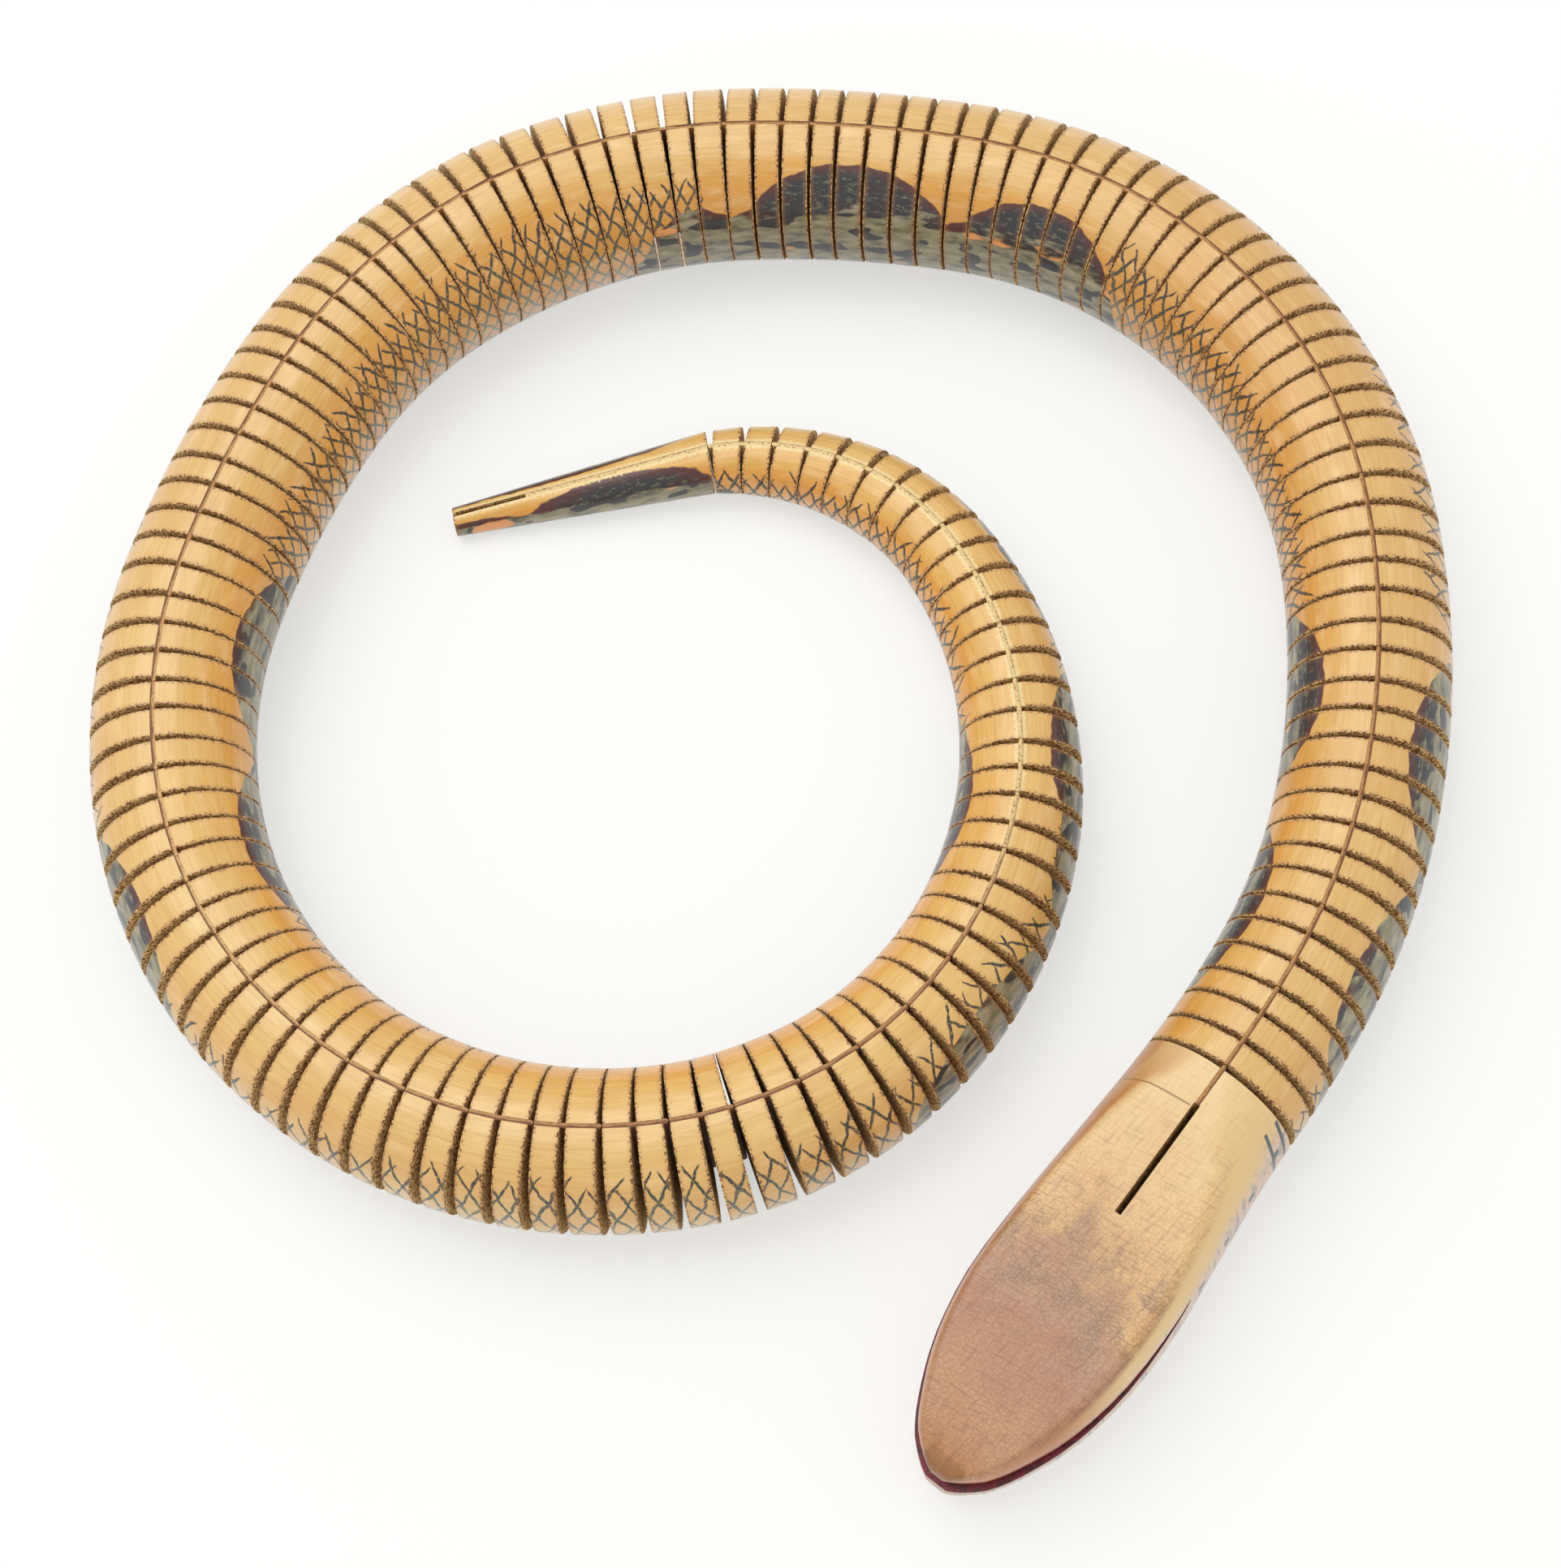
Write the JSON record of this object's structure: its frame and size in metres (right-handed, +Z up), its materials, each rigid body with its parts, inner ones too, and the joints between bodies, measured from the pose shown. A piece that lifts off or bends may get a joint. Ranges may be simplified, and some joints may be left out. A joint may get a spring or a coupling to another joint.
{
  "type": "jointed wooden toy snake",
  "caption": "Toy snake made of a tapered wooden stick slit lengthwise, sawn into thin round slices that hinge on a flexible strip glued in the slit, with a carved flat-topped head.",
  "frame": {"origin": "on the surface that the snake lies on, under the middle of the coil's box", "axes": "+Z up; +Y from the head's side of the coil to the far side, as seen in the picture; +X to the right of that view"},
  "size_m": [0.2328, 0.2582, 0.0319],
  "materials": {
    "varnished_wood": "clear varnish over pale wood, painted on the flanks",
    "head_wood": "crackled clear varnish over pale wood",
    "strip_cloth": "woven strip soaked in glue"
  },
  "bodies": {
    "head": {"head": "head_wood", "head_strip": "strip_cloth"},
    "block_01": {"body_block_01": "varnished_wood"},
    "block_02": {"body_block_02": "varnished_wood"},
    "block_03": {"body_block_03": "varnished_wood"},
    "block_04": {"body_block_04": "varnished_wood"},
    "block_05": {"body_block_05": "varnished_wood"},
    "block_06": {"body_block_06": "varnished_wood"},
    "block_07": {"body_block_07": "varnished_wood"},
    "block_08": {"body_block_08": "varnished_wood"},
    "block_09": {"body_block_09": "varnished_wood"},
    "block_10": {"body_block_10": "varnished_wood"},
    "block_11": {"body_block_11": "varnished_wood"},
    "block_12": {"body_block_12": "varnished_wood"},
    "block_13": {"body_block_13": "varnished_wood"},
    "block_14": {"body_block_14": "varnished_wood"},
    "block_15": {"body_block_15": "varnished_wood"},
    "block_16": {"body_block_16": "varnished_wood"},
    "block_17": {"body_block_17": "varnished_wood"},
    "block_18": {"body_block_18": "varnished_wood"},
    "block_19": {"body_block_19": "varnished_wood"},
    "block_20": {"body_block_20": "varnished_wood"},
    "block_21": {"body_block_21": "varnished_wood"},
    "block_22": {"body_block_22": "varnished_wood"},
    "block_23": {"body_block_23": "varnished_wood"},
    "block_24": {"body_block_24": "varnished_wood"},
    "block_25": {"body_block_25": "varnished_wood"},
    "block_26": {"body_block_26": "varnished_wood"},
    "block_27": {"body_block_27": "varnished_wood"},
    "block_28": {"body_block_28": "varnished_wood"},
    "block_29": {"body_block_29": "varnished_wood"},
    "block_30": {"body_block_30": "varnished_wood"},
    "block_31": {"body_block_31": "varnished_wood"},
    "block_32": {"body_block_32": "varnished_wood"},
    "block_33": {"body_block_33": "varnished_wood"},
    "block_34": {"body_block_34": "varnished_wood"},
    "block_35": {"body_block_35": "varnished_wood"},
    "block_36": {"body_block_36": "varnished_wood"},
    "block_37": {"body_block_37": "varnished_wood"},
    "block_38": {"body_block_38": "varnished_wood"},
    "block_39": {"body_block_39": "varnished_wood"},
    "block_40": {"body_block_40": "varnished_wood"},
    "block_41": {"body_block_41": "varnished_wood"},
    "block_42": {"body_block_42": "varnished_wood"},
    "block_43": {"body_block_43": "varnished_wood"},
    "block_44": {"body_block_44": "varnished_wood"},
    "block_45": {"body_block_45": "varnished_wood"},
    "block_46": {"body_block_46": "varnished_wood"},
    "block_47": {"body_block_47": "varnished_wood"},
    "block_48": {"body_block_48": "varnished_wood"},
    "block_49": {"body_block_49": "varnished_wood"},
    "block_50": {"body_block_50": "varnished_wood"},
    "block_51": {"body_block_51": "varnished_wood"},
    "block_52": {"body_block_52": "varnished_wood"},
    "block_53": {"body_block_53": "varnished_wood"},
    "block_54": {"body_block_54": "varnished_wood"},
    "block_55": {"body_block_55": "varnished_wood"},
    "tail": {"tail_left": "varnished_wood", "tail_right": "varnished_wood", "tail_strip": "strip_cloth"}
  },
  "joints": [
    {"name": "kerf_hinge_01", "type": "hinge", "parent": "head", "child": "block_01", "pos_m": [0.05807, -0.07547, 0.0136], "axis": [0, 0, 1], "range_deg": [-4.99, 1.73]},
    {"name": "kerf_hinge_02", "type": "hinge", "parent": "block_01", "child": "block_02", "pos_m": [0.06881, -0.0644, 0.0135], "axis": [0, 0, 1], "range_deg": [-5.02, 1.76]},
    {"name": "kerf_hinge_03", "type": "hinge", "parent": "block_02", "child": "block_03", "pos_m": [0.07865, -0.05223, 0.0134], "axis": [0, 0, 1], "range_deg": [-5.9, 0.92]},
    {"name": "kerf_hinge_04", "type": "hinge", "parent": "block_03", "child": "block_04", "pos_m": [0.08662, -0.03934, 0.0133], "axis": [0, 0, 1], "range_deg": [-5.93, 0.95]},
    {"name": "kerf_hinge_05", "type": "hinge", "parent": "block_04", "child": "block_05", "pos_m": [0.09305, -0.02505, 0.01341], "axis": [0, 0, 1], "range_deg": [-5.43, 1.39]},
    {"name": "kerf_hinge_06", "type": "hinge", "parent": "block_05", "child": "block_06", "pos_m": [0.09789, -0.00983, 0.01351], "axis": [0, 0, 1], "range_deg": [-5.41, 1.37]},
    {"name": "kerf_hinge_07", "type": "hinge", "parent": "block_06", "child": "block_07", "pos_m": [0.10118, 0.00617, 0.01362], "axis": [0, 0, 1], "range_deg": [-5.38, 1.34]},
    {"name": "kerf_hinge_08", "type": "hinge", "parent": "block_07", "child": "block_08", "pos_m": [0.10258, 0.02202, 0.01382], "axis": [0, 0, 1], "range_deg": [-6.42, 0.2]},
    {"name": "kerf_hinge_09", "type": "hinge", "parent": "block_08", "child": "block_09", "pos_m": [0.10118, 0.0381, 0.01407], "axis": [0, 0, 1], "range_deg": [-6.31, 0.2]},
    {"name": "kerf_hinge_10", "type": "hinge", "parent": "block_09", "child": "block_10", "pos_m": [0.09674, 0.05381, 0.01432], "axis": [0, 0, 1], "range_deg": [-6.2, 0.19]},
    {"name": "kerf_hinge_11", "type": "hinge", "parent": "block_10", "child": "block_11", "pos_m": [0.08954, 0.06827, 0.01457], "axis": [0, 0, 1], "range_deg": [-6.09, 0.19]},
    {"name": "kerf_hinge_12", "type": "hinge", "parent": "block_11", "child": "block_12", "pos_m": [0.07947, 0.08144, 0.01474], "axis": [0, 0, 1], "range_deg": [-6.02, 0.19]},
    {"name": "kerf_hinge_13", "type": "hinge", "parent": "block_12", "child": "block_13", "pos_m": [0.06748, 0.09192, 0.01488], "axis": [0, 0, 1], "range_deg": [-5.96, 0.19]},
    {"name": "kerf_hinge_14", "type": "hinge", "parent": "block_13", "child": "block_14", "pos_m": [0.05328, 0.10002, 0.01502], "axis": [0, 0, 1], "range_deg": [-5.91, 0.19]},
    {"name": "kerf_hinge_15", "type": "hinge", "parent": "block_14", "child": "block_15", "pos_m": [0.03875, 0.10546, 0.01516], "axis": [0, 0, 1], "range_deg": [-4.62, 1.42]},
    {"name": "kerf_hinge_16", "type": "hinge", "parent": "block_15", "child": "block_16", "pos_m": [0.02362, 0.10974, 0.01531], "axis": [0, 0, 1], "range_deg": [-4.59, 1.39]},
    {"name": "kerf_hinge_17", "type": "hinge", "parent": "block_16", "child": "block_17", "pos_m": [0.00814, 0.11272, 0.01548], "axis": [0, 0, 1], "range_deg": [-5.73, 0.18]},
    {"name": "kerf_hinge_18", "type": "hinge", "parent": "block_17", "child": "block_18", "pos_m": [-0.00805, 0.11348, 0.01566], "axis": [0, 0, 1], "range_deg": [-5.67, 0.18]},
    {"name": "kerf_hinge_19", "type": "hinge", "parent": "block_18", "child": "block_19", "pos_m": [-0.02442, 0.11132, 0.01583], "axis": [0, 0, 1], "range_deg": [-5.6, 0.18]},
    {"name": "kerf_hinge_20", "type": "hinge", "parent": "block_19", "child": "block_20", "pos_m": [-0.03959, 0.10652, 0.01583], "axis": [0, 0, 1], "range_deg": [-5.6, 0.18]},
    {"name": "kerf_hinge_21", "type": "hinge", "parent": "block_20", "child": "block_21", "pos_m": [-0.05321, 0.0994, 0.01547], "axis": [0, 0, 1], "range_deg": [-5.73, 0.18]},
    {"name": "kerf_hinge_22", "type": "hinge", "parent": "block_21", "child": "block_22", "pos_m": [-0.06451, 0.09056, 0.01512], "axis": [0, 0, 1], "range_deg": [-5.87, 0.18]},
    {"name": "kerf_hinge_23", "type": "hinge", "parent": "block_22", "child": "block_23", "pos_m": [-0.0744, 0.07947, 0.01486], "axis": [0, 0, 1], "range_deg": [-4.82, 1.34]},
    {"name": "kerf_hinge_24", "type": "hinge", "parent": "block_23", "child": "block_24", "pos_m": [-0.08351, 0.06629, 0.01465], "axis": [0, 0, 1], "range_deg": [-4.86, 1.38]},
    {"name": "kerf_hinge_25", "type": "hinge", "parent": "block_24", "child": "block_25", "pos_m": [-0.09144, 0.05226, 0.01445], "axis": [0, 0, 1], "range_deg": [-4.91, 1.43]},
    {"name": "kerf_hinge_26", "type": "hinge", "parent": "block_25", "child": "block_26", "pos_m": [-0.09793, 0.03733, 0.01424], "axis": [0, 0, 1], "range_deg": [-6.23, 0.2]},
    {"name": "kerf_hinge_27", "type": "hinge", "parent": "block_26", "child": "block_27", "pos_m": [-0.10162, 0.02192, 0.01404], "axis": [0, 0, 1], "range_deg": [-6.32, 0.2]},
    {"name": "kerf_hinge_28", "type": "hinge", "parent": "block_27", "child": "block_28", "pos_m": [-0.10242, 0.0057, 0.01386], "axis": [0, 0, 1], "range_deg": [-6.4, 0.2]},
    {"name": "kerf_hinge_29", "type": "hinge", "parent": "block_28", "child": "block_29", "pos_m": [-0.10128, -0.00491, 0.01374], "axis": [0, 0, 1], "range_deg": [-6.46, 0.2]},
    {"name": "kerf_hinge_30", "type": "hinge", "parent": "block_29", "child": "block_30", "pos_m": [-0.09875, -0.01516, 0.01361], "axis": [0, 0, 1], "range_deg": [-6.52, 0.2]},
    {"name": "kerf_hinge_31", "type": "hinge", "parent": "block_30", "child": "block_31", "pos_m": [-0.09491, -0.02493, 0.01349], "axis": [0, 0, 1], "range_deg": [-6.58, 0.21]},
    {"name": "kerf_hinge_32", "type": "hinge", "parent": "block_31", "child": "block_32", "pos_m": [-0.08978, -0.03404, 0.01337], "axis": [0, 0, 1], "range_deg": [-6.64, 0.21]},
    {"name": "kerf_hinge_33", "type": "hinge", "parent": "block_32", "child": "block_33", "pos_m": [-0.08307, -0.04283, 0.01325], "axis": [0, 0, 1], "range_deg": [-6.7, 0.21]},
    {"name": "kerf_hinge_34", "type": "hinge", "parent": "block_33", "child": "block_34", "pos_m": [-0.07568, -0.05016, 0.01322], "axis": [0, 0, 1], "range_deg": [-6.71, 0.21]},
    {"name": "kerf_hinge_35", "type": "hinge", "parent": "block_34", "child": "block_35", "pos_m": [-0.06751, -0.0563, 0.0132], "axis": [0, 0, 1], "range_deg": [-6.72, 0.21]},
    {"name": "kerf_hinge_36", "type": "hinge", "parent": "block_35", "child": "block_36", "pos_m": [-0.05808, -0.06156, 0.01317], "axis": [0, 0, 1], "range_deg": [-6.74, 0.21]},
    {"name": "kerf_hinge_37", "type": "hinge", "parent": "block_36", "child": "block_37", "pos_m": [-0.04827, -0.06534, 0.01314], "axis": [0, 0, 1], "range_deg": [-6.75, 0.21]},
    {"name": "kerf_hinge_38", "type": "hinge", "parent": "block_37", "child": "block_38", "pos_m": [-0.03789, -0.06774, 0.01312], "axis": [0, 0, 1], "range_deg": [-6.76, 0.21]},
    {"name": "kerf_hinge_39", "type": "hinge", "parent": "block_38", "child": "block_39", "pos_m": [-0.02755, -0.0687, 0.01309], "axis": [0, 0, 1], "range_deg": [-6.78, 0.21]},
    {"name": "kerf_hinge_40", "type": "hinge", "parent": "block_39", "child": "block_40", "pos_m": [-0.01729, -0.06816, 0.01306], "axis": [0, 0, 1], "range_deg": [-6.79, 0.21]},
    {"name": "kerf_hinge_41", "type": "hinge", "parent": "block_40", "child": "block_41", "pos_m": [-0.00648, -0.06571, 0.01287], "axis": [0, 0, 1], "range_deg": [-6.89, 0.22]},
    {"name": "kerf_hinge_42", "type": "hinge", "parent": "block_41", "child": "block_42", "pos_m": [0.00327, -0.06166, 0.01252], "axis": [0, 0, 1], "range_deg": [-7.09, 0.22]},
    {"name": "kerf_hinge_43", "type": "hinge", "parent": "block_42", "child": "block_43", "pos_m": [0.012, -0.05615, 0.01217], "axis": [0, 0, 1], "range_deg": [-7.29, 0.23]},
    {"name": "kerf_hinge_44", "type": "hinge", "parent": "block_43", "child": "block_44", "pos_m": [0.01999, -0.04903, 0.01181], "axis": [0, 0, 1], "range_deg": [-7.51, 0.24]},
    {"name": "kerf_hinge_45", "type": "hinge", "parent": "block_44", "child": "block_45", "pos_m": [0.0266, -0.04102, 0.01146], "axis": [0, 0, 1], "range_deg": [-7.74, 0.24]},
    {"name": "kerf_hinge_46", "type": "hinge", "parent": "block_45", "child": "block_46", "pos_m": [0.03211, -0.03179, 0.0111], "axis": [0, 0, 1], "range_deg": [-7.99, 0.25]},
    {"name": "kerf_hinge_47", "type": "hinge", "parent": "block_46", "child": "block_47", "pos_m": [0.03608, -0.02222, 0.01075], "axis": [0, 0, 1], "range_deg": [-8.25, 0.26]},
    {"name": "kerf_hinge_48", "type": "hinge", "parent": "block_47", "child": "block_48", "pos_m": [0.03853, -0.01247, 0.01026], "axis": [0, 0, 1], "range_deg": [-8.65, 0.27]},
    {"name": "kerf_hinge_49", "type": "hinge", "parent": "block_48", "child": "block_49", "pos_m": [0.03971, -0.00084, 0.00976], "axis": [0, 0, 1], "range_deg": [-8.88, 0.5]},
    {"name": "kerf_hinge_50", "type": "hinge", "parent": "block_49", "child": "block_50", "pos_m": [0.03918, 0.01052, 0.00927], "axis": [0, 0, 1], "range_deg": [-9.12, 0.74]},
    {"name": "kerf_hinge_51", "type": "hinge", "parent": "block_50", "child": "block_51", "pos_m": [0.03701, 0.02149, 0.00878], "axis": [0, 0, 1], "range_deg": [-9.4, 1.02]},
    {"name": "kerf_hinge_52", "type": "hinge", "parent": "block_51", "child": "block_52", "pos_m": [0.03325, 0.03215, 0.00829], "axis": [0, 0, 1], "range_deg": [-10.71, 0.34]},
    {"name": "kerf_hinge_53", "type": "hinge", "parent": "block_52", "child": "block_53", "pos_m": [0.02698, 0.04209, 0.0078], "axis": [0, 0, 1], "range_deg": [-11.38, 0.36]},
    {"name": "kerf_hinge_54", "type": "hinge", "parent": "block_53", "child": "block_54", "pos_m": [0.01793, 0.0505, 0.00716], "axis": [0, 0, 1], "range_deg": [-12.39, 0.39]},
    {"name": "kerf_hinge_55", "type": "hinge", "parent": "block_54", "child": "block_55", "pos_m": [0.00737, 0.05617, 0.00638], "axis": [0, 0, 1], "range_deg": [-13.91, 0.43]},
    {"name": "kerf_hinge_56", "type": "hinge", "parent": "block_55", "child": "tail", "pos_m": [-0.00383, 0.05891, 0.0056], "axis": [0, 0, 1], "range_deg": [-15.84, 0.49]}
  ]
}
